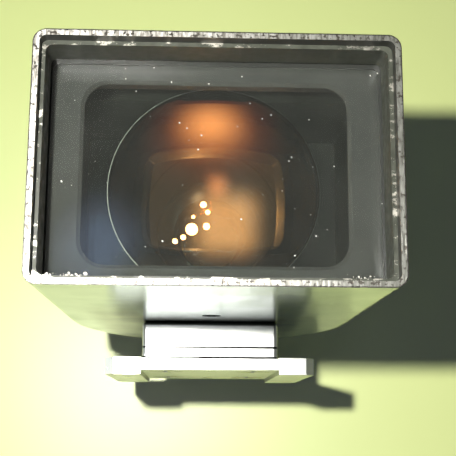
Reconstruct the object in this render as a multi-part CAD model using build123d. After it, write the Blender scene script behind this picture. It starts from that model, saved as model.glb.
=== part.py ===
from build123d import *
import os

# A bright-line viewfinder that slides into a camera's accessory shoe. Millimetres.
# Origin: on the optical axis, at the eyepiece's rear face. +Z looks out of the front window,
# +X is to the right seen from in front, and the foot hangs from the body towards -Y.

# Driving dimensions of the body
LENGTH = 54.0            # eyepiece rear face to front rim
BODY_W = 25.4
BODY_H = 17.7
LONG_EDGE_R = 0.95       # the body's four long edges
RIM_WALL = 0.45
BODY_DEPTH = 45.0        # front rim to the body's rear face
TURNED_R = 50.0          # radius of the curve turned on the body's rear half
TURNED_CREST_DEPTH = 20.9
TURNED_CREST_R = 15.24
REAR_EDGE_R = 0.6
POCKET_DEPTH = 23.5      # the front pocket that holds the optics
POCKET_CORNER_R = 0.5
REAR_BORE_R = 8.0
REAR_BORE_DEPTH = 39.0

# Front optics, each as a depth behind the front rim
LINER_FRONT = 1.0
LINER_WALL = 0.3
WINDOW_FRONT = 3.7
WINDOW_T = 1.5
SEAL_T = 0.2
SEAL_BORDER = 0.3
MASK_T = 0.4
MASK_W = 24.0
MASK_H = 16.6
MASK_SHIFT = 0.24        # the sheet sits against the right-hand wall; its opening is centred
MASK_OUTER_CORNER_R = 1.1
MASK_OPEN_W = 19.25
MASK_OPEN_H = 13.43
MASK_CORNER_R = 1.8
MASK_BEVEL = 0.25
LENS_FRONT = 8.5
LENS_T = 3.5
SPACER_WALL = 1.0
DISH_EDGE_R = 8.23       # rim of the hollow ground into the objective's rear face
DISH_R = 26.0            # its radius of curvature
SLEEVE_WALL = 1.2
BAFFLE_T = 0.6
BAFFLE_OPEN_R = 7.2

# Eyepiece
BARREL_FRONT_DEPTH = 39.5
BARREL_FLANGE_DEPTH = 47.5
THREAD_R = 7.3           # barrel in the body, modelled at one plain radius
RING_THREAD_R = 7.5      # eyepiece ring on the barrel
EYE_R = 8.2              # outside of the barrel flange and of the eyepiece ring
EYE_GLASS_R = 6.4
BARREL_LIP_R = 5.5
BARREL_LIP_T = 1.5
RETICLE_T = 1.2
RETICLE_SPACER_T = 4.2
EYE_LENS_EDGE_T = 1.2
EYE_LENS_CURVE_R = 22.0
RETAINER_T = 1.2
RETAINER_OPEN_R = 5.3
RETAINER_SLOT_W = 0.8
RETAINER_SLOT_DEEP = 0.45
RING_LIP_T = 1.5
EYE_OPEN_R = 4.6
EYE_FUNNEL_R = 6.2
EYE_FUNNEL_T = 1.1
RING_EDGE = 0.25

# Foot for an accessory shoe
FOOT_FRONT_DEPTH = 23.0
FOOT_LENGTH = 18.0
NECK_W = 12.0
BLOCK_H = 2.25
SHIM_H = 0.9
PLATE_W = 18.5
PLATE_T = 1.46
PLATE_CORNER = 0.75
CHANNEL_W = 12.2
CHANNEL_DEEP = 0.4
NECK_EDGE_R = 0.38
TOP_EDGE_R = 0.36        # kept under the neck's corner radius
SEAM_EDGE = 0.07         # broken edges of the shim, which show as fine seams
SCREW_X = 4.0
SCREW_Z_SPREAD = 11.0
SCREW_R = 0.85
SCREW_HEAD_R = 1.6
SCREW_BITE = 1.2         # how far a foot screw reaches into the body's wall
SCREW_SLOT_W = 0.35
SCREW_SLOT_DEEP = 0.3
SCREW_NECK = 0.3         # the head overlaps its shank by this much
PIN_R = 0.6
PIN_Z_SPREAD = 13.0
SET_SCREW_R = 0.8
SET_SCREW_DEPTH = 18.0
SET_SCREW_LENGTH = 1.1
SET_SLOT_W = 0.3

OVERLAP = 0.5            # neighbouring cuts run into each other by this much
PAST = 1.0               # a cutting solid reaches this far beyond what it cuts
NEAR = 0.01              # how close an edge has to be to count as on a plane

POCKET_W = BODY_W - 2 * RIM_WALL
POCKET_H = BODY_H - 2 * RIM_WALL
BODY_BOTTOM = -BODY_H / 2
FOOT_BOTTOM = BODY_BOTTOM - BLOCK_H - SHIM_H - PLATE_T
CHANNEL_FLOOR = FOOT_BOTTOM + CHANNEL_DEEP
FOOT_MID_Z = LENGTH - FOOT_FRONT_DEPTH - FOOT_LENGTH / 2
MASK_FRONT = WINDOW_FRONT + WINDOW_T + SEAL_T
LENS_BACK = LENS_FRONT + LENS_T
BAFFLE_FRONT = POCKET_DEPTH - BAFFLE_T
RETICLE_FRONT = BARREL_FRONT_DEPTH + BARREL_LIP_T
EYE_LENS_FRONT = RETICLE_FRONT + RETICLE_T + RETICLE_SPACER_T
RING_LIP_DEPTH = LENGTH - RING_LIP_T


def slab(width, height, front, back, corner=0.0):
    """A block across the optical axis from one depth behind the rim to another."""
    outline = RectangleRounded(width, height, corner) if corner else Rectangle(width, height)
    return Pos(0, 0, LENGTH - back) * extrude(outline, amount=back - front)


def disc(radius, front, back):
    """A cylinder on the optical axis from one depth behind the rim to another."""
    return Pos(0, 0, LENGTH - back) * extrude(Circle(radius), amount=back - front)


def turned(points, arc_middle=None):
    """A ring turned about the optical axis from (radius, depth) points in order."""
    places = [(radius, LENGTH - depth) for radius, depth in points]
    if arc_middle:
        middle = (arc_middle[0], LENGTH - arc_middle[1])
        path = Polyline(*places[1:], places[0]) + ThreePointArc(places[0], middle, places[1])
    else:
        path = Polyline(*places, places[0])
    profile = Plane.XZ * make_face(path)
    return revolve(profile, Axis.Z)


def turned_limit_radius(depth):
    """Radius of the curve turned on the body's rear half, at a depth behind the rim."""
    reach = depth - TURNED_CREST_DEPTH
    return TURNED_CREST_R - TURNED_R + (TURNED_R**2 - reach**2) ** 0.5


def body_envelope():
    """The milled rectangular bar, rounded at the rear as if turned in a lathe."""
    bar = slab(BODY_W, BODY_H, 0, BODY_DEPTH, LONG_EDGE_R)
    middle = (TURNED_CREST_DEPTH + BODY_DEPTH) / 2
    clear = BODY_W
    bullet = turned(
        [
            (TURNED_CREST_R, TURNED_CREST_DEPTH),
            (turned_limit_radius(BODY_DEPTH), BODY_DEPTH),
            (0, BODY_DEPTH),
            (0, -PAST),
            (clear, -PAST),
            (clear, TURNED_CREST_DEPTH),
        ],
        arc_middle=(turned_limit_radius(middle), middle),
    )
    return bar & bullet


def rod_y(radius, x, z, y_low, y_high):
    """A cylinder that stands along Y."""
    return Pos(x, y_low, z) * Rot(-90, 0, 0) * extrude(Circle(radius), amount=y_high - y_low)


def foot_screw_places():
    half = SCREW_Z_SPREAD / 2
    return [(x, FOOT_MID_Z + z) for x in (-SCREW_X, SCREW_X) for z in (-half, half)]


def foot_pin_places():
    half = PIN_Z_SPREAD / 2
    return [(0, FOOT_MID_Z - half), (0, FOOT_MID_Z + half)]


def body_shell():
    rear = body_envelope()
    rear_z = LENGTH - BODY_DEPTH
    rear = fillet(rear.edges().filter_by_position(Axis.Z, rear_z - NEAR, rear_z + NEAR), REAR_EDGE_R)
    shell = rear - slab(POCKET_W, POCKET_H, -PAST, POCKET_DEPTH, POCKET_CORNER_R)
    shell -= disc(REAR_BORE_R, POCKET_DEPTH - OVERLAP, REAR_BORE_DEPTH)
    shell -= disc(THREAD_R, REAR_BORE_DEPTH - OVERLAP, BODY_DEPTH + PAST)
    for x, z in foot_screw_places():
        shell -= rod_y(SCREW_R, x, z, BODY_BOTTOM - PAST, BODY_BOTTOM + SCREW_BITE)
    set_z = LENGTH - SET_SCREW_DEPTH
    return shell - rod_y(SET_SCREW_R, 0, set_z, BODY_BOTTOM - PAST, BODY_BOTTOM + RIM_WALL + OVERLAP)


def front_liner():
    outer = slab(POCKET_W, POCKET_H, LINER_FRONT, WINDOW_FRONT, POCKET_CORNER_R)
    inner_w = POCKET_W - 2 * LINER_WALL
    inner_h = POCKET_H - 2 * LINER_WALL
    return outer - slab(inner_w, inner_h, LINER_FRONT - PAST, WINDOW_FRONT + PAST, POCKET_CORNER_R)


def window_glass():
    return slab(POCKET_W, POCKET_H, WINDOW_FRONT, WINDOW_FRONT + WINDOW_T, POCKET_CORNER_R)


def window_seal():
    front = WINDOW_FRONT + WINDOW_T
    outer = slab(POCKET_W, POCKET_H, front, MASK_FRONT, POCKET_CORNER_R)
    inner_w = POCKET_W - 2 * SEAL_BORDER
    inner_h = POCKET_H - 2 * SEAL_BORDER
    return outer - slab(inner_w, inner_h, front - PAST, MASK_FRONT + PAST, POCKET_CORNER_R)


def field_mask():
    back = MASK_FRONT + MASK_T
    sheet = Pos(MASK_SHIFT, 0, 0) * slab(MASK_W, MASK_H, MASK_FRONT, back, MASK_OUTER_CORNER_R)
    sheet -= slab(MASK_OPEN_W, MASK_OPEN_H, MASK_FRONT - PAST, back + PAST, MASK_CORNER_R)
    front_z = LENGTH - MASK_FRONT
    front_edges = sheet.edges().filter_by_position(Axis.Z, front_z - NEAR, front_z + NEAR)
    opening = [
        edge
        for edge in front_edges
        if abs(edge.center().X) < MASK_OPEN_W / 2 + NEAR and abs(edge.center().Y) < MASK_OPEN_H / 2 + NEAR
    ]
    return chamfer(opening, MASK_BEVEL)


def lens_spacer():
    front = MASK_FRONT + MASK_T
    outer = slab(POCKET_W, POCKET_H, front, LENS_FRONT, POCKET_CORNER_R)
    inner_w = POCKET_W - 2 * SPACER_WALL
    inner_h = POCKET_H - 2 * SPACER_WALL
    return outer - slab(inner_w, inner_h, front - PAST, LENS_FRONT + PAST, POCKET_CORNER_R)


def objective_lens():
    """A rectangular block of glass, flat in front, with a round hollow ground into its rear face."""
    block = slab(POCKET_W, POCKET_H, LENS_FRONT, LENS_BACK, POCKET_CORNER_R)
    rise = (DISH_R**2 - DISH_EDGE_R**2) ** 0.5
    hollow = Pos(0, 0, LENGTH - LENS_BACK - rise) * Sphere(DISH_R)
    return block - hollow


def lens_sleeve():
    """The square tube that keeps the objective forward and carries the set screw."""
    outer = slab(POCKET_W, POCKET_H, LENS_BACK, BAFFLE_FRONT, POCKET_CORNER_R)
    inner_w = POCKET_W - 2 * SLEEVE_WALL
    inner_h = POCKET_H - 2 * SLEEVE_WALL
    tube = outer - slab(inner_w, inner_h, LENS_BACK - PAST, BAFFLE_FRONT + PAST, POCKET_CORNER_R)
    low = BODY_BOTTOM + RIM_WALL - PAST
    return tube - rod_y(SET_SCREW_R, 0, LENGTH - SET_SCREW_DEPTH, low, low + SLEEVE_WALL + 2 * PAST)


def set_screw():
    """A slotted grub screw through the body's floor into the sleeve."""
    z = LENGTH - SET_SCREW_DEPTH
    low = BODY_BOTTOM + RIM_WALL
    screw = rod_y(SET_SCREW_R, 0, z, low, low + SET_SCREW_LENGTH)
    slot = Pos(0, low, z) * Box(2 * SET_SCREW_R, 2 * SCREW_SLOT_DEEP, SET_SLOT_W)
    return screw - slot


def light_baffle():
    plate = slab(POCKET_W, POCKET_H, BAFFLE_FRONT, POCKET_DEPTH, POCKET_CORNER_R)
    return plate - disc(BAFFLE_OPEN_R, BAFFLE_FRONT - PAST, POCKET_DEPTH + PAST)


def eyepiece_barrel():
    return turned(
        [
            (BARREL_LIP_R, BARREL_FRONT_DEPTH),
            (THREAD_R, BARREL_FRONT_DEPTH),
            (THREAD_R, BODY_DEPTH),
            (EYE_R, BODY_DEPTH),
            (EYE_R, BARREL_FLANGE_DEPTH),
            (RING_THREAD_R, BARREL_FLANGE_DEPTH),
            (RING_THREAD_R, RING_LIP_DEPTH),
            (EYE_GLASS_R, RING_LIP_DEPTH),
            (EYE_GLASS_R, RETICLE_FRONT),
            (BARREL_LIP_R, RETICLE_FRONT),
        ]
    )


def reticle_glass():
    return disc(EYE_GLASS_R, RETICLE_FRONT, RETICLE_FRONT + RETICLE_T)


def reticle_spacer():
    front = RETICLE_FRONT + RETICLE_T
    ring = disc(EYE_GLASS_R, front, EYE_LENS_FRONT)
    return ring - disc(BARREL_LIP_R, front - PAST, EYE_LENS_FRONT + PAST)


def eye_lens():
    """Plano-convex, flat side forward; the dome stands behind its cylindrical edge."""
    edge = disc(EYE_GLASS_R, EYE_LENS_FRONT, EYE_LENS_FRONT + EYE_LENS_EDGE_T)
    rise = (EYE_LENS_CURVE_R**2 - EYE_GLASS_R**2) ** 0.5
    dome_centre = LENGTH - EYE_LENS_FRONT - EYE_LENS_EDGE_T + rise
    dome = Pos(0, 0, dome_centre) * Sphere(EYE_LENS_CURVE_R)
    return edge + (dome & disc(EYE_GLASS_R, EYE_LENS_FRONT + EYE_LENS_EDGE_T / 2, LENGTH))


def retaining_ring():
    front = EYE_LENS_FRONT + EYE_LENS_EDGE_T
    back = front + RETAINER_T
    ring = disc(EYE_GLASS_R, front, back) - disc(RETAINER_OPEN_R, front - PAST, back + PAST)
    # the ring's bore clears the lens's dome, which is highest on the axis
    slots = Pos(0, 0, LENGTH - back) * Box(2 * EYE_GLASS_R + PAST, RETAINER_SLOT_W, 2 * RETAINER_SLOT_DEEP)
    rise = (EYE_LENS_CURVE_R**2 - EYE_GLASS_R**2) ** 0.5
    dome = Pos(0, 0, LENGTH - front + rise) * Sphere(EYE_LENS_CURVE_R)
    return ring - slots - dome


def eyepiece_ring():
    return turned(
        [
            (RING_THREAD_R, BARREL_FLANGE_DEPTH),
            (EYE_R, BARREL_FLANGE_DEPTH),
            (EYE_R, LENGTH - RING_EDGE),
            (EYE_R - RING_EDGE, LENGTH),
            (EYE_FUNNEL_R, LENGTH),
            (EYE_OPEN_R, LENGTH - EYE_FUNNEL_T),
            (EYE_OPEN_R, RING_LIP_DEPTH),
            (RING_THREAD_R, RING_LIP_DEPTH),
        ]
    )


def foot_layer(width, top, height):
    """One layer of the foot, top and height measured down from the body's underside."""
    middle_y = BODY_BOTTOM - top - height / 2
    return Pos(0, middle_y, FOOT_MID_Z) * Box(width, height, FOOT_LENGTH)


def drilled(layer):
    """The layer with its holes for the foot's screws and pins."""
    low = FOOT_BOTTOM - PAST
    for x, z in foot_screw_places():
        layer -= rod_y(SCREW_R, x, z, low, BODY_BOTTOM + PAST)
    for x, z in foot_pin_places():
        layer -= rod_y(PIN_R, x, z, low, BODY_BOTTOM + PAST)
    return layer


def foot_block():
    block = foot_layer(NECK_W, 0, BLOCK_H)
    block = fillet(block.edges().filter_by(Axis.Y), NECK_EDGE_R)
    return drilled(fillet(block.faces().sort_by(Axis.Y)[-1].edges(), TOP_EDGE_R))


def foot_shim():
    shim = foot_layer(NECK_W, BLOCK_H, SHIM_H)
    shim = fillet(shim.edges().filter_by(Axis.Y), NECK_EDGE_R)
    shim = chamfer(shim.faces().sort_by(Axis.Y)[-1].edges(), SEAM_EDGE)
    return drilled(chamfer(shim.faces().sort_by(Axis.Y)[0].edges(), SEAM_EDGE))


def head_cone(x, z):
    """The countersunk head's cone, its wide end on the channel's floor."""
    depth = SCREW_HEAD_R - SCREW_R
    cone = Cone(bottom_radius=SCREW_HEAD_R, top_radius=SCREW_R, height=depth)
    return Pos(x, CHANNEL_FLOOR + depth / 2, z) * Rot(-90, 0, 0) * cone


def foot_plate():
    plate = foot_layer(PLATE_W, BLOCK_H + SHIM_H, PLATE_T)
    plate = chamfer(plate.edges().filter_by(Axis.Y), PLATE_CORNER)
    plate -= Pos(0, FOOT_BOTTOM, FOOT_MID_Z) * Box(CHANNEL_W, 2 * CHANNEL_DEEP, FOOT_LENGTH + 2 * PAST)
    for x, z in foot_screw_places():
        plate -= head_cone(x, z)
    return drilled(plate)


def foot_screws():
    """Four countersunk slotted screws, as separate solids."""
    screws = []
    for x, z in foot_screw_places():
        shank = rod_y(SCREW_R, x, z, CHANNEL_FLOOR + SCREW_NECK, BODY_BOTTOM + SCREW_BITE)
        slot = Pos(x, CHANNEL_FLOOR, z) * Box(SCREW_SLOT_W, 2 * SCREW_SLOT_DEEP, 2 * SCREW_HEAD_R + PAST)
        screws.append(head_cone(x, z) + shank - slot)
    return Compound(children=[screw.solid() for screw in screws])


def foot_pins():
    pins = [rod_y(PIN_R, x, z, CHANNEL_FLOOR, BODY_BOTTOM) for x, z in foot_pin_places()]
    return Compound(children=[pin.solid() for pin in pins])


NODES = {
    "body_shell": body_shell,
    "front_liner": front_liner,
    "window_glass": window_glass,
    "window_seal": window_seal,
    "field_mask": field_mask,
    "lens_spacer": lens_spacer,
    "objective_lens": objective_lens,
    "lens_sleeve": lens_sleeve,
    "set_screw": set_screw,
    "light_baffle": light_baffle,
    "eyepiece_barrel": eyepiece_barrel,
    "reticle_glass": reticle_glass,
    "reticle_spacer": reticle_spacer,
    "eye_lens": eye_lens,
    "retaining_ring": retaining_ring,
    "eyepiece_ring": eyepiece_ring,
    "foot_block": foot_block,
    "foot_shim": foot_shim,
    "foot_plate": foot_plate,
    "foot_screws": foot_screws,
    "foot_pins": foot_pins,
}

os.makedirs("parts", exist_ok=True)
for name, make in NODES.items():
    export_step(make(), f"parts/{name}.step")
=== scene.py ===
import math

import bmesh
import bpy
from mathutils import Matrix, Vector

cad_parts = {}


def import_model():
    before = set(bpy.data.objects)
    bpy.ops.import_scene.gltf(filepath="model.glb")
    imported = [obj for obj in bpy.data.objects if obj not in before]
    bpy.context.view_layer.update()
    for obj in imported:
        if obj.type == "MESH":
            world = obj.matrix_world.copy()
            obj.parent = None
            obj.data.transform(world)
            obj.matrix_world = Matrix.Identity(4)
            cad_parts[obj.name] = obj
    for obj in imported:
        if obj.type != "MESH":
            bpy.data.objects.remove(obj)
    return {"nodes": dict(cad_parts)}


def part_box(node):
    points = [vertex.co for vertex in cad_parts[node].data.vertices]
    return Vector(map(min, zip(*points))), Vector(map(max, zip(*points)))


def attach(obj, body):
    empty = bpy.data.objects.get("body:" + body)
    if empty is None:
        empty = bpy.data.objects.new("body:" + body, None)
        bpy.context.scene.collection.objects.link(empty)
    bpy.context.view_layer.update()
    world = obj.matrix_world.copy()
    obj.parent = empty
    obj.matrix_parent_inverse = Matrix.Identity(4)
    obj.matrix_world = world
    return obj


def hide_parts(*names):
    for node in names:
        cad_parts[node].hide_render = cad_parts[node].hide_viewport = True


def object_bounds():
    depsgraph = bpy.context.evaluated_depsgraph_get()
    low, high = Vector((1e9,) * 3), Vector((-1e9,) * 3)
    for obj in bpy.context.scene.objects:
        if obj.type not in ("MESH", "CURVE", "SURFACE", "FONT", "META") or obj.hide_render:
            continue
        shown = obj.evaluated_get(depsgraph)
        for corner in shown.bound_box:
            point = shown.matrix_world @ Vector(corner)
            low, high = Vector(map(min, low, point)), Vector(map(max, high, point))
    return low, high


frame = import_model()
cad_low, cad_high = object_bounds()

MM = 0.001
NODES = frame["nodes"]

# Places read from the frame. The front rim is the highest face, the table is z = 0.
RIM_Z = cad_high.z
_, BODY_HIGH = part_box("body_shell")
_, WINDOW_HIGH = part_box("window_glass")
LINER_LOW, LINER_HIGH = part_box("front_liner")
LENS_LOW, LENS_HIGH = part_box("objective_lens")
_, RETICLE_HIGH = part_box("reticle_glass")
RING_LOW, RING_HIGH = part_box("eyepiece_ring")
_, NECK_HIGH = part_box("foot_block")
SHIM_LOW, SHIM_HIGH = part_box("foot_shim")
FOOT_FRONT = NECK_HIGH.z

# Sizes of the part that the patterns follow.
BODY_CORNER = 0.95 * MM  # radius of the body's long edges
WORN_DEEP = 0.12 * MM  # how far the wear reaches down from a front edge
WORN_WHOLE = 0.02 * MM  # and down to where it is complete
JOINT_HALF = 0.085 * MM  # half the width of a joint's dark line
HOLLOW = Vector((0, 0, RIM_Z - 10 * MM))  # the middle of the objective's hollow


# ---------------------------------------------------------------- helpers

def linear(hex_colour):
    """The scene-linear RGBA of an sRGB hex value."""
    channels = [int(hex_colour[i:i + 2], 16) / 255 for i in (0, 2, 4)]
    curve = [c / 12.92 if c <= 0.04045 else ((c + 0.055) / 1.055) ** 2.4 for c in channels]
    return (*curve, 1.0)


def per(millimetres):
    """The texture scale at which one cell of a pattern is this wide."""
    return 1 / (millimetres * MM)


def put(tree, kind, values=None, **settings):
    """Adds a node. values maps an input's name or index to a number, a colour, or a node or socket."""
    node = tree.nodes.new(kind)
    for name, value in settings.items():
        setattr(node, name, value)
    for key, value in (values or {}).items():
        if isinstance(value, bpy.types.Node):
            value = next(socket for socket in value.outputs if socket.enabled)
        if isinstance(value, bpy.types.NodeSocket):
            tree.links.new(value, node.inputs[key])
        else:
            node.inputs[key].default_value = value
    return node


def new_material(name):
    """A material with an empty tree and its output node."""
    material = bpy.data.materials.new(name)
    material.use_nodes = True
    tree = material.node_tree
    tree.nodes.clear()
    return material, tree, put(tree, "ShaderNodeOutputMaterial")


def dress(node_name, material):
    """Gives a CAD node its material."""
    data = NODES[node_name].data
    data.materials.clear()
    data.materials.append(material)
    for polygon in data.polygons:
        polygon.use_smooth = False


def keep(bm, name, materials, replaced=()):
    """Turns a bmesh into a finished piece that rides on the body."""
    mesh = bpy.data.meshes.new(name)
    bm.to_mesh(mesh)
    bm.free()
    return keep_mesh(mesh, name, materials, replaced)


def keep_mesh(mesh, name, materials, replaced=()):
    """Puts a mesh in the scene as a finished piece that rides on the body."""
    piece = bpy.data.objects.new(name, mesh)
    bpy.context.scene.collection.objects.link(piece)
    for material in materials:
        if material.name not in mesh.materials:
            mesh.materials.append(material)
    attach(piece, "root")
    if replaced:
        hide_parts(*replaced)
    return piece


# ---------------------------------------------------------------- materials

def outline_depth(tree, place):
    """How far a point lies inside the body's outline, across the optical axis."""
    core = (BODY_HIGH.x - BODY_CORNER, BODY_HIGH.y - BODY_CORNER, 1.0)
    quarter = put(tree, "ShaderNodeVectorMath", {0: place}, operation="ABSOLUTE")
    beyond = put(tree, "ShaderNodeVectorMath", {0: quarter, 1: core}, operation="SUBTRACT")
    outside = put(tree, "ShaderNodeVectorMath", {0: beyond, 1: (0, 0, 0)}, operation="MAXIMUM")
    reach = put(tree, "ShaderNodeVectorMath", {0: outside}, operation="LENGTH")
    return put(tree, "ShaderNodeMath", {0: BODY_CORNER, 1: reach}, operation="SUBTRACT")


def buffed_chrome():
    """Chrome plate on machined brass, buffed: a soft mirror with wiping marks, faint stains and small pits.
    Round the front rim the plate is rubbed through: brushed bare metal, nicked, with a dark outer edge.
    The pocket's walls are painted black, and the underside carries painted shade in the corner in front of
    the foot and beside the left wing."""
    material, tree, out = new_material("buffed chrome plate on brass")
    spot = put(tree, "ShaderNodeTexCoord")
    place = spot.outputs["Object"]
    axes = put(tree, "ShaderNodeSeparateXYZ", {0: place})
    depth = outline_depth(tree, place)
    drawn = put(tree, "ShaderNodeMapping", {"Vector": place, "Scale": (1.0, 1.0, 0.08)})
    marks = put(tree, "ShaderNodeTexNoise", {"Vector": drawn, "Scale": per(0.12), "Detail": 4.0})
    smears = put(tree, "ShaderNodeTexNoise", {"Vector": place, "Scale": per(4.5), "Detail": 4.0})
    pits = put(tree, "ShaderNodeTexVoronoi", {"Vector": place, "Scale": per(0.35)})
    nicks = put(tree, "ShaderNodeTexNoise", {"Vector": place, "Scale": per(0.3), "Detail": 6.0})
    turn = (0, 0, math.radians(38))
    slant = put(tree, "ShaderNodeMapping", {"Vector": place, "Rotation": turn, "Scale": (1.0, 0.16, 1.0)})
    strokes = put(tree, "ShaderNodeTexNoise", {"Vector": slant, "Scale": per(0.16), "Detail": 3.0})

    # the worn front rim
    rim = put(tree, "ShaderNodeMapRange", {0: axes.outputs["Z"], 1: RIM_Z - WORN_DEEP, 2: RIM_Z - WORN_WHOLE})
    brushed = put(tree, "ShaderNodeMapRange", {0: strokes, 1: 0.36, 2: 0.64})
    bare = put(
        tree, "ShaderNodeMix", {"Factor": brushed, 6: linear("757067"), 7: linear("E6E4DC")}, data_type="RGBA"
    )
    # painted shade: the worn rim darkens towards +X, the side away from the small light
    rim_shade = put(tree, "ShaderNodeMapRange", {0: axes.outputs["X"], 1: -7 * MM, 2: 9 * MM, 3: 0.1, 4: 0.8})
    rim_shaded = put(tree, "ShaderNodeMix", {"Factor": rim_shade, 6: bare, 7: linear("4A4D46")}, data_type="RGBA")
    sound = put(tree, "ShaderNodeMapRange", {0: nicks, 1: 0.39, 2: 0.45})
    nicked = put(tree, "ShaderNodeMix", {"Factor": sound, 6: linear("39352E"), 7: rim_shaded}, data_type="RGBA")
    wander = put(tree, "ShaderNodeMath", {0: nicks, 1: 0.1 * MM, 2: depth}, operation="MULTIPLY_ADD")
    inward = put(tree, "ShaderNodeMapRange", {0: wander, 1: 0.11 * MM, 2: 0.15 * MM})
    edged = put(tree, "ShaderNodeMix", {"Factor": inward, 6: linear("26241F"), 7: nicked}, data_type="RGBA")

    # the plated sides, with painted shade on the underside in front of the foot
    clean = put(tree, "ShaderNodeMapRange", {0: smears, 1: 0.35, 2: 0.7})
    stained = put(
        tree, "ShaderNodeMix", {"Factor": clean, 6: linear("99A5A3"), 7: linear("8D9A98")}, data_type="RGBA"
    )
    # the painted shade reaches further forward beside the left wing than in front of the neck
    reach = put(
        tree,
        "ShaderNodeMapRange",
        {0: axes.outputs["X"], 1: -6.4 * MM, 2: -5.6 * MM, 3: 13 * MM, 4: 4.6 * MM},
    )
    forward = put(tree, "ShaderNodeMath", {0: axes.outputs["Z"], 1: FOOT_FRONT}, operation="SUBTRACT")
    progress = put(tree, "ShaderNodeMath", {0: forward, 1: reach}, operation="DIVIDE")
    ahead = put(tree, "ShaderNodeMapRange", {0: progress, 1: 0.4, 2: 1.0, 3: 0.97, 4: 0.0})
    left_end = put(tree, "ShaderNodeMapRange", {0: axes.outputs["X"], 1: -10.4 * MM, 2: -9.0 * MM})
    right_end = put(tree, "ShaderNodeMapRange", {0: axes.outputs["X"], 1: 6.8 * MM, 2: 6.0 * MM})
    within = put(tree, "ShaderNodeMath", {0: left_end, 1: right_end}, operation="MULTIPLY")
    below = put(tree, "ShaderNodeMath", {0: axes.outputs["Y"], 1: 0.0}, operation="LESS_THAN")
    painted_shade_here = put(tree, "ShaderNodeMath", {0: ahead, 1: within}, operation="MULTIPLY")
    painted_shade = put(tree, "ShaderNodeMath", {0: painted_shade_here, 1: below}, operation="MULTIPLY")
    # painted shade: the underside is darkened towards the foot, standing in for its shade and dark
    # reflections
    plate = put(tree, "ShaderNodeMix", {"Factor": painted_shade, 6: stained, 7: linear("343A33")}, data_type="RGBA")

    surface = put(tree, "ShaderNodeMix", {"Factor": rim, 6: plate, 7: edged}, data_type="RGBA")
    # a face that looks towards the optical axis is a wall of the pocket or the bore
    outwards = put(tree, "ShaderNodeVectorMath", {0: place, 1: (1.0, 1.0, 0.0)}, operation="MULTIPLY")
    normal = spot.outputs["Normal"]
    facing = put(tree, "ShaderNodeVectorMath", {0: outwards, 1: normal}, operation="DOT_PRODUCT")
    inside = put(tree, "ShaderNodeMath", {0: facing, 1: -1.0 * MM}, operation="LESS_THAN")
    colour = put(tree, "ShaderNodeMix", {"Factor": inside, 6: surface, 7: linear("23241F")}, data_type="RGBA")
    gloss = put(tree, "ShaderNodeMapRange", {0: smears, 1: 0.3, 2: 0.72, 3: 0.15, 4: 0.24})
    worn_gloss = put(tree, "ShaderNodeMix", {0: rim, 2: gloss, 3: 0.38}, data_type="FLOAT")
    roughness = put(tree, "ShaderNodeMix", {0: inside, 2: worn_gloss, 3: 0.5}, data_type="FLOAT")
    # grease and scratches make the worn rim half matt
    metal = put(tree, "ShaderNodeMapRange", {0: rim, 3: 1.0, 4: 0.5})
    painted = put(tree, "ShaderNodeMath", {0: 1.0, 1: inside}, operation="SUBTRACT")
    metallic = put(tree, "ShaderNodeMath", {0: metal, 1: painted}, operation="MULTIPLY")

    marks_bump = put(tree, "ShaderNodeBump", {"Height": marks, "Strength": 0.06, "Distance": 0.02 * MM})
    hollow = put(tree, "ShaderNodeMapRange", {0: pits, 1: 0.0, 2: 0.16})
    pit_bump = put(
        tree,
        "ShaderNodeBump",
        {"Height": hollow, "Strength": 0.15, "Distance": 0.02 * MM, "Normal": marks_bump},
    )
    relief = put(tree, "ShaderNodeMath", {0: strokes, 1: nicks}, operation="ADD")
    worn_relief = put(tree, "ShaderNodeMath", {0: rim, 1: relief}, operation="MULTIPLY")
    nick_bump = put(
        tree,
        "ShaderNodeBump",
        {"Height": worn_relief, "Strength": 0.6, "Distance": 0.05 * MM, "Normal": pit_bump},
    )
    shader = put(
        tree,
        "ShaderNodeBsdfPrincipled",
        {"Base Color": colour, "Metallic": metallic, "Roughness": roughness, "Normal": nick_bump},
    )
    tree.links.new(shader.outputs[0], out.inputs[0])
    return material


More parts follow.
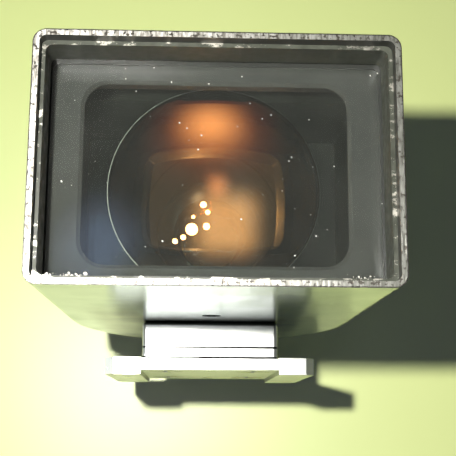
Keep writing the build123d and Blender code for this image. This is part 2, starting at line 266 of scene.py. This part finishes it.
def satin_chrome():
    """Chrome plate over milled and bead-blasted brass: an even satin that scatters a lamp widely.
    Dark grime has settled in the two joints of the foot's neck."""
    material, tree, out = new_material("satin chrome plate, milled brass")
    place = put(tree, "ShaderNodeTexCoord").outputs["Object"]
    drawn = put(tree, "ShaderNodeMapping", {"Vector": place, "Scale": (1.0, 1.0, 0.12)})
    grain = put(tree, "ShaderNodeTexNoise", {"Vector": drawn, "Scale": per(0.07), "Detail": 3.0})
    smears = put(tree, "ShaderNodeTexNoise", {"Vector": place, "Scale": per(2.5), "Detail": 3.0})
    colour = put(
        tree,
        "ShaderNodeMix",
        {"Factor": smears, 6: linear("A6A9A6"), 7: linear("BDBEBA")},
        data_type="RGBA",
    )
    axes = put(tree, "ShaderNodeSeparateXYZ", {0: place})
    level = axes.outputs["Y"]
    upper = put(tree, "ShaderNodeMath", {0: level, 1: SHIM_HIGH.y, 2: JOINT_HALF}, operation="COMPARE")
    lower = put(tree, "ShaderNodeMath", {0: level, 1: SHIM_LOW.y, 2: JOINT_HALF}, operation="COMPARE")
    either = put(tree, "ShaderNodeMath", {0: upper, 1: lower}, operation="MAXIMUM")
    neck = {0: axes.outputs["X"], 1: 0.0, 2: NECK_HIGH.x + 0.05 * MM}
    on_neck = put(tree, "ShaderNodeMath", neck, operation="COMPARE")
    joints = put(tree, "ShaderNodeMath", {0: either, 1: on_neck}, operation="MULTIPLY")
    patchy = put(tree, "ShaderNodeMapRange", {0: smears, 1: 0.35, 2: 0.5, 3: 0.9, 4: 1.0})
    grime = put(tree, "ShaderNodeMath", {0: joints, 1: patchy}, operation="MULTIPLY")
    dirty = put(tree, "ShaderNodeMix", {"Factor": grime, 6: colour, 7: linear("080807")}, data_type="RGBA")
    gloss = put(tree, "ShaderNodeMapRange", {0: smears, 1: 0.3, 2: 0.7, 3: 0.27, 4: 0.36})
    bump = put(tree, "ShaderNodeBump", {"Height": grain, "Strength": 0.2, "Distance": 0.02 * MM})
    shader = put(
        tree,
        "ShaderNodeBsdfPrincipled",
        {"Base Color": dirty, "Metallic": 1.0, "Roughness": gloss, "Normal": bump},
    )
    tree.links.new(shader.outputs[0], out.inputs[0])
    return material


def chipped_enamel(name, edge_z, edge_share):
    """Black enamel baked on thin brass: near black with a soft gloss, chipped to bare metal along its
    front edge in short bright dashes."""
    material, tree, out = new_material(name)
    place = put(tree, "ShaderNodeTexCoord").outputs["Object"]
    grime = put(tree, "ShaderNodeTexNoise", {"Vector": place, "Scale": per(0.8), "Detail": 4.0})
    enamel = put(
        tree,
        "ShaderNodeMix",
        {"Factor": grime, 6: linear("20221D"), 7: linear("4A4D43")},
        data_type="RGBA",
    )
    height = put(tree, "ShaderNodeSeparateXYZ", {0: place}).outputs["Z"]
    at_edge = put(tree, "ShaderNodeMapRange", {0: height, 1: edge_z - WORN_DEEP, 2: edge_z - WORN_WHOLE})
    along = put(tree, "ShaderNodeMapping", {"Vector": place, "Scale": (0.5, 1.0, 1.0)})
    flakes = put(
        tree, "ShaderNodeTexNoise", {"Vector": along, "Scale": per(0.8), "Detail": 9.0, "Roughness": 0.75}
    )
    chip = put(tree, "ShaderNodeMapRange", {0: flakes, 1: 1 - edge_share, 2: 1.015 - edge_share})
    bare = put(tree, "ShaderNodeMath", {0: at_edge, 1: chip}, operation="MULTIPLY")
    colour = put(
        tree,
        "ShaderNodeMix",
        {"Factor": bare, 6: enamel, 7: linear("A5A298")},
        data_type="RGBA",
    )
    gloss = put(tree, "ShaderNodeMapRange", {0: grime, 1: 0.3, 2: 0.7, 3: 0.28, 4: 0.55})
    bump = put(tree, "ShaderNodeBump", {"Height": flakes, "Strength": 0.25, "Distance": 0.03 * MM})
    shader = put(
        tree,
        "ShaderNodeBsdfPrincipled",
        {
            "Base Color": colour,
            "Metallic": bare,
            "Specular IOR Level": 0.2,
            "Roughness": gloss,
            "Normal": bump,
        },
    )
    tree.links.new(shader.outputs[0], out.inputs[0])
    return material


def matt_paint(name, dark, light, rough, grain_mm, shine=0.5):
    """Sprayed matt paint: a fine even tooth with a little dust in it."""
    material, tree, out = new_material(name)
    place = put(tree, "ShaderNodeTexCoord").outputs["Object"]
    cloud = put(tree, "ShaderNodeTexNoise", {"Vector": place, "Scale": per(grain_mm * 14), "Detail": 4.0})
    tooth = put(tree, "ShaderNodeTexNoise", {"Vector": place, "Scale": per(grain_mm), "Detail": 2.0})
    colour = put(
        tree,
        "ShaderNodeMix",
        {"Factor": cloud, 6: linear(dark), 7: linear(light)},
        data_type="RGBA",
    )
    bump = put(tree, "ShaderNodeBump", {"Height": tooth, "Strength": 0.3, "Distance": 0.02 * MM})
    shader = put(
        tree,
        "ShaderNodeBsdfPrincipled",
        {
            "Base Color": colour,
            "Roughness": rough,
            "Specular IOR Level": shine,
            "Normal": bump,
        },
    )
    tree.links.new(shader.outputs[0], out.inputs[0])
    return material


def turned_metal(name, base, rough, groove_mm):
    """Metal left as it came off the lathe: fine rings round the optical axis."""
    material, tree, out = new_material(name)
    place = put(tree, "ShaderNodeTexCoord").outputs["Object"]
    rings = put(
        tree,
        "ShaderNodeTexWave",
        {"Vector": place, "Scale": per(groove_mm) / 20, "Distortion": 0.6},
        wave_type="BANDS",
        bands_direction="Z",
    )
    stain = put(tree, "ShaderNodeTexNoise", {"Vector": place, "Scale": per(1.4), "Detail": 3.0})
    gloss = put(tree, "ShaderNodeMapRange", {0: stain, 1: 0.3, 2: 0.7, 3: rough * 0.8, 4: rough * 1.3})
    bump = put(tree, "ShaderNodeBump", {"Height": rings.outputs[1], "Strength": 0.2, "Distance": 0.02 * MM})
    shader = put(
        tree,
        "ShaderNodeBsdfPrincipled",
        {
            "Base Color": linear(base),
            "Metallic": 1.0,
            "Roughness": gloss,
            "Normal": bump,
        },
    )
    tree.links.new(shader.outputs[0], out.inputs[0])
    return material


def through_for_lamps(tree, shader, tint):
    """Lets a lamp's light straight through a glass shader, so that what lies behind it is lit."""
    path = put(tree, "ShaderNodeLightPath")
    clear = put(tree, "ShaderNodeBsdfTransparent", {"Color": linear(tint)})
    return put(tree, "ShaderNodeMixShader", {0: path.outputs["Is Shadow Ray"], 1: shader, 2: clear})


def dusty_glass():
    """Float glass, cut and polished, with a thin film of dust that is thicker in patches."""
    material, tree, out = new_material("polished window glass, dusty")
    place = put(tree, "ShaderNodeTexCoord").outputs["Object"]
    glass = put(
        tree,
        "ShaderNodeBsdfPrincipled",
        {"Base Color": linear("F7FAF6"), "Roughness": 0.0, "IOR": 1.52, "Transmission Weight": 1.0},
    )
    cloud = put(
        tree, "ShaderNodeTexNoise", {"Vector": place, "Scale": per(5.0), "Detail": 5.0, "Roughness": 0.6}
    )
    film = put(tree, "ShaderNodeMapRange", {0: cloud, 1: 0.3, 2: 0.75, 3: 0.006, 4: 0.013})
    dust = put(tree, "ShaderNodeBsdfDiffuse", {"Color": linear("C9CCC4")})
    hazed = put(tree, "ShaderNodeMixShader", {0: film, 1: glass, 2: dust})
    lit = through_for_lamps(tree, hazed, "F4F6F2")
    tree.links.new(lit.outputs[0], out.inputs[0])
    return material


def lens_glass(name, tint, passes):
    """Crown glass, ground and polished: clear, with small hard glints.
    passes is the tint of a lamp's light behind it."""
    material, tree, out = new_material(name)
    glass = put(
        tree,
        "ShaderNodeBsdfPrincipled",
        {"Base Color": linear(tint), "Roughness": 0.0, "IOR": 1.52, "Transmission Weight": 1.0},
    )
    lit = through_for_lamps(tree, glass, passes)
    tree.links.new(lit.outputs[0], out.inputs[0])
    return material


def amber_semi_mirror():
    """A thin gold film on the polished hollow: part of the light comes back amber, the rest goes through."""
    material, tree, out = new_material("amber semi-mirror film on glass")
    glass = put(
        tree,
        "ShaderNodeBsdfPrincipled",
        {"Base Color": linear("D8E4E8"), "Roughness": 0.0, "IOR": 1.52, "Transmission Weight": 1.0},
    )
    film = put(tree, "ShaderNodeBsdfGlossy", {"Color": linear("FFB56A"), "Roughness": 0.0})
    both = put(tree, "ShaderNodeMixShader", {0: 0.72, 1: glass, 2: film})
    lit = through_for_lamps(tree, both, "5C6468")
    tree.links.new(lit.outputs[0], out.inputs[0])
    return material


def ground_glass():
    """Glass left grey from the grinding wheel, on the lens's cut edges."""
    material, tree, out = new_material("ground glass edge")
    place = put(tree, "ShaderNodeTexCoord").outputs["Object"]
    grit = put(tree, "ShaderNodeTexNoise", {"Vector": place, "Scale": per(0.12), "Detail": 3.0})
    bump = put(tree, "ShaderNodeBump", {"Height": grit, "Strength": 0.4, "Distance": 0.02 * MM})
    shader = put(
        tree,
        "ShaderNodeBsdfPrincipled",
        {"Base Color": linear("8A8E88"), "Roughness": 0.45, "Normal": bump},
    )
    tree.links.new(shader.outputs[0], out.inputs[0])
    return material


def table_top():
    """A pale yellow-green laminate with a soft sheen."""
    material, tree, out = new_material("pale yellow-green laminate")
    place = put(tree, "ShaderNodeTexCoord").outputs["Object"]
    cloud = put(tree, "ShaderNodeTexNoise", {"Vector": place, "Scale": per(22.0), "Detail": 2.0})
    colour = put(
        tree,
        "ShaderNodeMix",
        {"Factor": cloud, 6: linear("E2F09B"), 7: linear("E8F4A3")},
        data_type="RGBA",
    )
    shader = put(
        tree,
        "ShaderNodeBsdfPrincipled",
        {"Base Color": colour, "Roughness": 0.41, "Specular IOR Level": 0.75},
    )
    tree.links.new(shader.outputs[0], out.inputs[0])
    return material


CHROME = buffed_chrome()
SATIN = satin_chrome()
LINER = chipped_enamel("black baked enamel, chipped edge", LINER_HIGH.z, 0.45)
MASK = matt_paint("grey matt paint, sprayed", "171817", "222322", 0.85, 0.06, 0.1)
BLACK = matt_paint("black matt paint, sprayed", "0C0C0B", "151513", 0.8, 0.08, 0.2)
BLACKENED = turned_metal("blackened brass, turned", "1E1B18", 0.4, 0.18)
GASKET = matt_paint("black rubber, moulded", "111111", "1B1B1A", 0.8, 0.1)
STEEL = turned_metal("screw steel, turned", "8F8D88", 0.3, 0.1)
PIN_STEEL = turned_metal("pin steel, ground", "A5A39D", 0.25, 0.06)
RING_BLACK = matt_paint("black anodised aluminium, knurled", "101011", "1A1A1B", 0.42, 0.05)
WINDOW = dusty_glass()
CLEAR = lens_glass("polished crown glass", "F2F6F3", "EEF2EE")
EYE_GLASS = lens_glass("polished crown glass, eye end", "F2F6F3", "262826")
COATED = amber_semi_mirror()
GROUND = ground_glass()


def dress_cad_nodes():
    """Every CAD node that stays in view or inside gets its finish."""
    finishes = {
        "body_shell": CHROME,
        "eyepiece_barrel": CHROME,
        "front_liner": LINER,
        "window_glass": WINDOW,
        "window_seal": GASKET,
        "field_mask": MASK,
        "lens_spacer": BLACK,
        "lens_sleeve": BLACK,
        "set_screw": STEEL,
        "light_baffle": BLACK,
        "reticle_glass": EYE_GLASS,
        "reticle_spacer": BLACKENED,
        "eye_lens": EYE_GLASS,
        "retaining_ring": BLACKENED,
        "foot_block": SATIN,
        "foot_shim": SATIN,
        "foot_plate": SATIN,
        "foot_screws": STEEL,
        "foot_pins": PIN_STEEL,
    }
    for name, material in finishes.items():
        dress(name, material)


# ---------------------------------------------------------------- lens pieces

def rounded_outline(half_width, half_height, corner, angle):
    """The point at this angle on a rectangle with rounded corners."""
    cos, sin = math.cos(angle), math.sin(angle)
    reach = min(
        half_width / abs(cos) if abs(cos) > 1e-9 else 1e9,
        half_height / abs(sin) if abs(sin) > 1e-9 else 1e9,
    )
    x, y = reach * cos, reach * sin
    core_x, core_y = half_width - corner, half_height - corner
    if abs(x) > core_x and abs(y) > core_y:
        centre = Vector((math.copysign(core_x, x), math.copysign(core_y, y)))
        ray = Vector((cos, sin))
        along = centre.dot(ray)
        off = centre.length_squared - along * along
        far = along + math.sqrt(max(corner * corner - off, 0))
        x, y = far * cos, far * sin
    return x, y


def ring_of(bm, points):
    return [bm.verts.new(point) for point in points]


def bridge(bm, first, second, material=0, smooth=True):
    """Joins two rings of the same count with quads."""
    count = len(first)
    for i in range(count):
        j = (i + 1) % count
        face = bm.faces.new((first[i], first[j], second[j], second[i]))
        face.material_index = material
        face.smooth = smooth


def objective():
    """The objective: a rectangular block, flat in front, with the coated hollow ground in its back.
    A narrow ground bevel runs round the hollow's edge and shows as a thin bright circle from in front."""
    steps = 192
    half_w, half_h = LENS_HIGH.x, LENS_HIGH.y
    corner = 0.5 * MM
    edge_r = 8.23 * MM
    bevel = 0.07 * MM
    dish_r = 26.0 * MM
    rise = math.sqrt(dish_r**2 - edge_r**2)
    angles = [2 * math.pi * i / steps for i in range(steps)]
    outline = [rounded_outline(half_w, half_h, corner, a) for a in angles]
    bm = bmesh.new()
    front = ring_of(bm, [(x, y, LENS_HIGH.z) for x, y in outline])
    back = ring_of(bm, [(x, y, LENS_LOW.z) for x, y in outline])
    # the bevel was ground by hand, wider on one side
    widest = math.radians(200)
    lips = [edge_r + bevel * (0.2 + 0.8 * (0.5 + 0.5 * math.cos(a - widest)) ** 1.5) for a in angles]
    lip = ring_of(bm, [(r * math.cos(a), r * math.sin(a), LENS_LOW.z) for r, a in zip(lips, angles)])
    rings = []
    count = 24
    for k in range(count):
        r = edge_r * (1 - k / count)
        lift = 0.6 * bevel if k == 0 else 0.0
        z = LENS_LOW.z - rise + math.sqrt(dish_r**2 - r**2) + lift
        rings.append(ring_of(bm, [(r * math.cos(a), r * math.sin(a), z) for a in angles]))
    pole = bm.verts.new((0, 0, LENS_LOW.z - rise + dish_r))
    face = bm.faces.new(front)
    face.material_index = 0
    bridge(bm, back, front, 3, False)
    bridge(bm, lip, back, 0, False)
    bridge(bm, rings[0], lip, 2, False)
    for outer, inner in zip(rings, rings[1:]):
        bridge(bm, inner, outer, 1)
    for i in range(steps):
        face = bm.faces.new((pole, rings[-1][i], rings[-1][(i + 1) % steps]))
        face.material_index = 1
        face.smooth = True
    bmesh.ops.recalc_face_normals(bm, faces=bm.faces)
    return keep(bm, "objective", [CLEAR, COATED, GROUND, BLACK], ["objective_lens"])


def add_box(bm, low, high, material=0):
    """A closed box between two corners."""
    made = bmesh.ops.create_cube(bm, size=1.0)["verts"]
    centre = (Vector(low) + Vector(high)) / 2
    size = Vector(high) - Vector(low)
    for vertex in made:
        vertex.co = Vector((vertex.co.x * size.x, vertex.co.y * size.y, vertex.co.z * size.z)) + centre
    for face in {f for v in made for f in v.link_faces}:
        face.material_index = material


def frame_lines():
    """The bright frame printed on the reticle, seen reflected from the eye side."""
    bm = bmesh.new()
    half_w, half_h, line, thick = 3.9 * MM, 2.6 * MM, 0.09 * MM, 0.01 * MM
    z = RETICLE_HIGH.z
    gap = 0.9 * MM
    for side in (-1, 1):
        for end in (-1, 1):
            x_far, x_near = end * half_w, end * gap
            add_box(
                bm,
                (min(x_far, x_near), side * half_h - line / 2, z),
                (max(x_far, x_near), side * half_h + line / 2, z + thick),
            )
            y_far, y_near = end * half_h, end * gap
            add_box(
                bm,
                (side * half_w - line / 2, min(y_far, y_near), z),
                (side * half_w + line / 2, max(y_far, y_near), z + thick),
            )
    silver = turned_metal("evaporated silver line", "D8D8D2", 0.25, 0.3)
    return keep(bm, "frame_lines", [silver])


# ---------------------------------------------------------------- pieces from geometry nodes

def new_tree(name, inputs):
    """A geometry tree with named inputs. Returns the tree, its input node and its output node."""
    tree = bpy.data.node_groups.new(name, "GeometryNodeTree")
    tree.interface.new_socket("Geometry", in_out="OUTPUT", socket_type="NodeSocketGeometry")
    for label, (kind, _) in inputs.items():
        tree.interface.new_socket(label, in_out="INPUT", socket_type=kind)
    return tree, put(tree, "NodeGroupInput"), put(tree, "NodeGroupOutput")


def grown(name, tree, inputs):
    """Runs a geometry tree with its inputs set and returns the mesh it makes."""
    carrier = bpy.data.objects.new(name + "_carrier", bpy.data.meshes.new(name + "_carrier"))
    bpy.context.scene.collection.objects.link(carrier)
    modifier = carrier.modifiers.new(name, "NODES")
    modifier.node_group = tree
    sockets = {item.name: item.identifier for item in tree.interface.items_tree if item.in_out == "INPUT"}
    for label, (_, value) in inputs.items():
        modifier[sockets[label]] = value
    depsgraph = bpy.context.evaluated_depsgraph_get()
    mesh = bpy.data.meshes.new_from_object(carrier.evaluated_get(depsgraph), depsgraph=depsgraph)
    carrier.modifiers.remove(modifier)
    bpy.data.objects.remove(carrier)
    mesh.name = name
    return mesh


def end_tree(tree, out, geometry, material):
    """Realises what the tree made and gives it its material."""
    solid = put(tree, "GeometryNodeRealizeInstances", {0: geometry})
    painted = put(tree, "GeometryNodeSetMaterial", {"Geometry": solid, "Material": material})
    tree.links.new(painted.outputs[0], out.inputs[0])


def scattered_specks(name, width, depth, centre, count, smallest, largest, seed, flatness, material):
    """Grains strewn over a rectangle: many fine ones and a few coarse ones, each turned its own way."""
    inputs = {
        "Width": ("NodeSocketFloat", width),
        "Depth": ("NodeSocketFloat", depth),
        "Centre": ("NodeSocketVector", centre),
        "Density": ("NodeSocketFloat", count / (width * depth)),
        "Smallest": ("NodeSocketFloat", smallest),
        "Largest": ("NodeSocketFloat", largest),
        "Flatness": ("NodeSocketFloat", flatness),
        "Seed": ("NodeSocketInt", seed),
    }
    tree, source, out = new_tree(name, inputs)
    ask = source.outputs
    grid = put(
        tree,
        "GeometryNodeMeshGrid",
        {"Size X": ask["Width"], "Size Y": ask["Depth"], "Vertices X": 2, "Vertices Y": 2},
    )
    points = put(
        tree,
        "GeometryNodeDistributePointsOnFaces",
        {"Mesh": grid, "Density": ask["Density"], "Seed": ask["Seed"]},
    )
    grain = put(tree, "GeometryNodeMeshIcoSphere", {"Radius": 1.0, "Subdivisions": 1})
    draw = put(tree, "FunctionNodeRandomValue", {2: 0.0, 3: 1.0, "Seed": ask["Seed"]}, data_type="FLOAT")
    skewed = put(tree, "ShaderNodeMath", {0: draw.outputs[1], 1: 3.5}, operation="POWER")
    size = put(tree, "ShaderNodeMapRange", {0: skewed, 3: ask["Smallest"], 4: ask["Largest"]})
    stretch = put(
        tree,
        "FunctionNodeRandomValue",
        {0: (0.6, 0.6, 0.5), 1: (1.7, 1.2, 1.0), "Seed": ask["Seed"]},
        data_type="FLOAT_VECTOR",
    )
    scaled = put(tree, "ShaderNodeVectorMath", {0: stretch, "Scale": size}, operation="SCALE")
    turn = put(
        tree,
        "FunctionNodeRandomValue",
        {0: (0.0, 0.0, 0.0), 1: (0.5, 0.5, 2 * math.pi), "Seed": ask["Seed"]},
        data_type="FLOAT_VECTOR",
    )
    strewn = put(
        tree,
        "GeometryNodeInstanceOnPoints",
        {"Points": points, "Instance": grain, "Rotation": turn, "Scale": scaled},
    )
    press = put(tree, "ShaderNodeCombineXYZ", {0: 1.0, 1: 1.0, 2: ask["Flatness"]})
    placed = put(
        tree,
        "GeometryNodeTransform",
        {"Geometry": strewn, "Translation": ask["Centre"], "Scale": press},
    )
    end_tree(tree, out, placed, material)
    return keep_mesh(grown(name, tree, inputs), name, [material])


def knurled_ring():
    """The black eyepiece ring: a turned body with straight ridges set round it."""
    ridge_count = 84
    ridge_deep = 0.2 * MM
    outer = RING_HIGH.x
    root = outer - 0.16 * MM
    low, high = RING_LOW.z, RING_HIGH.z
    inner = 7.5 * MM
    profile = [
        (6.2 * MM, low),
        (root - 0.2 * MM, low),
        (root, low + 0.2 * MM),
        (root, high - 0.12 * MM),
        (root - 0.1 * MM, high),
        (inner, high),
        (inner, low + 1.5 * MM),
        (4.6 * MM, low + 1.5 * MM),
        (4.6 * MM, low + 1.1 * MM),
        (5.2 * MM, low + 0.75 * MM),
        (5.8 * MM, low + 0.3 * MM),
    ]
    steps = 168
    bm = bmesh.new()
    rings = []
    for r, z in profile:
        turn = [2 * math.pi * i / steps for i in range(steps)]
        rings.append(ring_of(bm, [(r * math.cos(a), r * math.sin(a), z) for a in turn]))
    for first, second in zip(rings, rings[1:] + rings[:1]):
        bridge(bm, first, second, 0, False)
    bmesh.ops.recalc_face_normals(bm, faces=bm.faces)
    keep(bm, "eyepiece_ring_body", [RING_BLACK], ["eyepiece_ring"])

    inputs = {
        "Ridges": ("NodeSocketInt", ridge_count),
        "Radius": ("NodeSocketFloat", outer),
        "Ridge width": ("NodeSocketFloat", 2 * math.pi * outer / ridge_count * 0.52),
        "Ridge height": ("NodeSocketFloat", high - low - 0.75 * MM),
        "Middle": ("NodeSocketFloat", (low + high) / 2),
    }
    tree, source, out = new_tree("knurling", inputs)
    ask = source.outputs
    circle = put(tree, "GeometryNodeMeshCircle", {"Vertices": ask["Ridges"], "Radius": ask["Radius"]})
    ridge = put(tree, "GeometryNodeMeshCylinder", {"Vertices": 6, "Radius": 1.0, "Depth": 1.0})
    where = put(tree, "GeometryNodeInputPosition")
    facing = put(tree, "FunctionNodeAlignRotationToVector", {"Vector": where}, axis="X")
    size = put(tree, "ShaderNodeCombineXYZ", {0: ridge_deep, 1: ask["Ridge width"], 2: ask["Ridge height"]})
    half = put(tree, "ShaderNodeVectorMath", {0: size, 1: (1.0, 0.5, 1.0)}, operation="MULTIPLY")
    inward = put(tree, "ShaderNodeVectorMath", {0: where, "Scale": 1 - ridge_deep / outer}, operation="SCALE")
    sunk = put(tree, "GeometryNodeSetPosition", {"Geometry": circle, "Position": inward})
    teeth = put(
        tree,
        "GeometryNodeInstanceOnPoints",
        {"Points": sunk, "Instance": ridge, "Rotation": facing, "Scale": half},
    )
    lift = put(tree, "ShaderNodeCombineXYZ", {2: ask["Middle"]})
    placed = put(tree, "GeometryNodeTransform", {"Geometry": teeth, "Translation": lift})
    end_tree(tree, out, placed, RING_BLACK)
    return keep_mesh(grown("knurling", tree, inputs), "knurling", [RING_BLACK])


def dust_and_debris():
    """Dust on the window and coarser grains where it collects, in the lower corners of the hood."""
    dust = matt_paint("house dust", "B9B9B2", "E8E8E2", 0.9, 0.05)
    grit = matt_paint("plating flakes and lint", "9A978C", "E6E3DA", 0.7, 0.05)
    width, depth = 2 * LINER_HIGH.x - 0.8 * MM, 2 * LINER_HIGH.y - 0.8 * MM
    on_glass = WINDOW_HIGH.z + 0.012 * MM
    scattered_specks(
        "window_dust", width, depth, (0, 0, on_glass),
        170, 0.008 * MM, 0.075 * MM, 11, 0.5, dust,
    )
    corner_x = LINER_HIGH.x - 1.9 * MM
    corner_y = LINER_LOW.y + 0.62 * MM
    scattered_specks(
        "corner_debris_left", 3.0 * MM, 0.5 * MM, (-corner_x, corner_y, on_glass),
        70, 0.02 * MM, 0.16 * MM, 3, 0.6, grit,
    )
    scattered_specks(
        "corner_debris_right", 1.6 * MM, 0.5 * MM, (corner_x, corner_y, on_glass),
        44, 0.02 * MM, 0.12 * MM, 5, 0.6, grit,
    )


# ---------------------------------------------------------------- stage

def floor():
    """The table: wide enough to reach the horizon in the low views."""
    half = 1.5
    bm = bmesh.new()
    corners = [(-half, -half, 0), (half, -half, 0), (half, half, 0), (-half, half, 0)]
    bm.faces.new([bm.verts.new(c) for c in corners])
    mesh = bpy.data.meshes.new("table")
    bm.to_mesh(mesh)
    bm.free()
    table = bpy.data.objects.new("table", mesh)
    bpy.context.scene.collection.objects.link(table)
    mesh.materials.append(table_top())


# The camera looks almost straight down into the window, leaning to the foot's side.
CAMERA_PLACE = Vector((-1.44, -17.54, 62.33)) * MM + Vector((0, 0, RIM_Z))
CAMERA_BACK = Vector((-0.0341, -0.1976, 0.9797)).normalized()
CAMERA_RIGHT = Vector((0.9993, 0.0052, 0.0358))
CAMERA_UP = CAMERA_BACK.cross(CAMERA_RIGHT).normalized()
CAMERA_LENS_MM = 75.9
SMALL_LIGHT_MM = Vector((-15.7, -6.0, 63.6))


def camera():
    data = bpy.data.cameras.new("camera")
    data.sensor_width = 36.0
    data.lens = CAMERA_LENS_MM
    data.clip_start = 0.001
    data.clip_end = 10.0
    eye = bpy.data.objects.new("camera", data)
    bpy.context.scene.collection.objects.link(eye)
    right = CAMERA_UP.cross(CAMERA_BACK)
    turn = Matrix((right, CAMERA_UP, CAMERA_BACK)).transposed()
    eye.matrix_world = Matrix.Translation(CAMERA_PLACE) @ turn.to_4x4()
    bpy.context.scene.camera = eye


def lamp(name, kind, place, energy, colour, **settings):
    data = bpy.data.lights.new(name, kind)
    data.energy = energy
    data.color = linear(colour)[:3]
    for key, value in settings.items():
        setattr(data, key, value)
    light = bpy.data.objects.new(name, data)
    bpy.context.scene.collection.objects.link(light)
    light.location = place
    return light


def soft_card(name, place, aim, width, height, radiance, colour, core=0.1):
    """A rectangular soft light, full strength over its core and fading out to its edges."""
    energy = radiance * math.pi * width * height
    light = lamp(name, "AREA", place, energy, colour, shape="RECTANGLE", size=width, size_y=height)
    light.rotation_mode = "QUATERNION"
    light.rotation_quaternion = (Vector(aim) - Vector(place)).to_track_quat("-Z", "Y")
    light.data.use_nodes = True
    tree = light.data.node_tree
    tree.nodes.clear()
    out = put(tree, "ShaderNodeOutputLight")
    spot = put(tree, "ShaderNodeNewGeometry").outputs["Parametric"]
    centred = put(tree, "ShaderNodeVectorMath", {0: spot, 1: (0.5, 0.5, 0.0)}, operation="SUBTRACT")
    away = put(tree, "ShaderNodeVectorMath", {0: centred}, operation="ABSOLUTE")
    axes = put(tree, "ShaderNodeSeparateXYZ", {0: away})
    fades = [
        put(
            tree,
            "ShaderNodeMapRange",
            {0: axes.outputs[axis], 1: 0.5, 2: core / 2, 3: 0.0, 4: 1.0},
            interpolation_type="SMOOTHSTEP",
        ).outputs[0]
        for axis in (0, 1)
    ]
    share = put(tree, "ShaderNodeMath", {0: fades[0], 1: fades[1]}, operation="MULTIPLY")
    falloff = put(tree, "ShaderNodeMath", {0: share, 1: 1.7}, operation="POWER")
    glow = put(tree, "ShaderNodeEmission", {"Strength": falloff})
    tree.links.new(glow.outputs[0], out.inputs[0])
    return light


def from_dish(east, north, up, reach_mm):
    """A place this far out from the middle of the objective's hollow, in a given direction."""
    return HOLLOW + Vector((east, north, up)).normalized() * reach_mm * MM


def behind_objective(name, east, north, depth, width, height, radiance, colour, core):
    """A soft patch of light that only the coated hollow sees, so that it shows as an amber reflection."""
    place = Vector((east * MM, north * MM, RIM_Z - depth * MM))
    aim = place - Vector((0, 0, 1))
    return soft_card(name, place, aim, width * MM, height * MM, radiance, colour, core)


def lights():
    """A small hard light beside the camera. The soft cards and sparks only show in glass and metal."""
    front = Vector((0, 0, RIM_Z))
    lamp("small_light", "POINT", front + SMALL_LIGHT_MM * MM, 0.60, "FFFDF8", shadow_soft_size=1.5 * MM)
    cards = [
        behind_objective("lower_glow", 1.1, -2.9, 9.0, 9.6, 9.6, 1.1, "FFFFFF", 0.2),
        behind_objective("upper_halo", -0.3, 5.3, 10.6, 16.0, 14.0, 0.28, "FF9470", 0.0),
        behind_objective("middle_glow", 0.3, 0.4, 9.5, 3.6, 4.0, 0.8, "FFD8CC", 0.0),
        behind_objective("upper_glow", -0.35, 5.9, 10.2, 10.0, 9.2, 1.45, "FFE6CC", 0.0),
        # a cool patch in the flat window
        soft_card(
            "cool_card", from_dish(-0.155, 0.135, 0.977, 160), HOLLOW, 38 * MM, 30 * MM, 1.15, "A6C0F0"
        ),
        # a pale wall to the left, for the plate's corner and the body's side
        soft_card(
            "wall_left", Vector((-95, -15, 26)) * MM, (0, -12 * MM, 26 * MM), 70 * MM, 60 * MM, 4.0, "F4F6F4"
        ),
    ]
    # direction east and north of straight up, and the radius of each spark in mm
    sparks = [
        (-0.215, -0.19, 25),
        (-0.092, 0.07, 13),
        (-0.047, -0.009, 10),
        (-0.058, -0.155, 14),
        (-0.315, -0.285, 11),
        (-0.42, -0.34, 11),
    ]
    for number, (east, north, radius) in enumerate(sparks):
        spot = from_dish(east, north, 1.0, 400)
        power = 0.0008 * radius**2
        spark = lamp(f"spark_{number}", "POINT", spot, power, "FFFFFF", shadow_soft_size=radius * MM)
        cards.append(spark)
    for card in cards:
        card.visible_diffuse = False
        card.visible_camera = False


def world():
    """Glass and metal see a pale room, brightest low down. Matt surfaces get a much dimmer, cooler light."""
    sky = bpy.data.worlds.new("studio")
    bpy.context.scene.world = sky
    sky.use_nodes = True
    tree = sky.node_tree
    tree.nodes.clear()
    out = put(tree, "ShaderNodeOutputWorld")
    direction = put(tree, "ShaderNodeTexCoord").outputs["Generated"]
    height = put(tree, "ShaderNodeSeparateXYZ", {0: direction}).outputs["Z"]
    rise = put(tree, "ShaderNodeMapRange", {0: height, 1: 0.05, 2: 0.6})
    room = put(
        tree, "ShaderNodeMix", {"Factor": rise, 6: linear("C8CCCA"), 7: linear("4A4E4A")}, data_type="RGBA"
    )
    path = put(tree, "ShaderNodeLightPath").outputs["Is Diffuse Ray"]
    seen = put(tree, "ShaderNodeMix", {"Factor": path, 6: room, 7: linear("303350")}, data_type="RGBA")
    shine = put(tree, "ShaderNodeBackground", {"Color": seen})
    tree.links.new(shine.outputs[0], out.inputs[0])


def colour_management():
    settings = bpy.context.scene.view_settings
    settings.view_transform = "Standard"
    settings.look = "None"


dress_cad_nodes()
objective()
frame_lines()
knurled_ring()
dust_and_debris()
floor()
camera()
lights()
world()
colour_management()

bpy.context.view_layer.update()
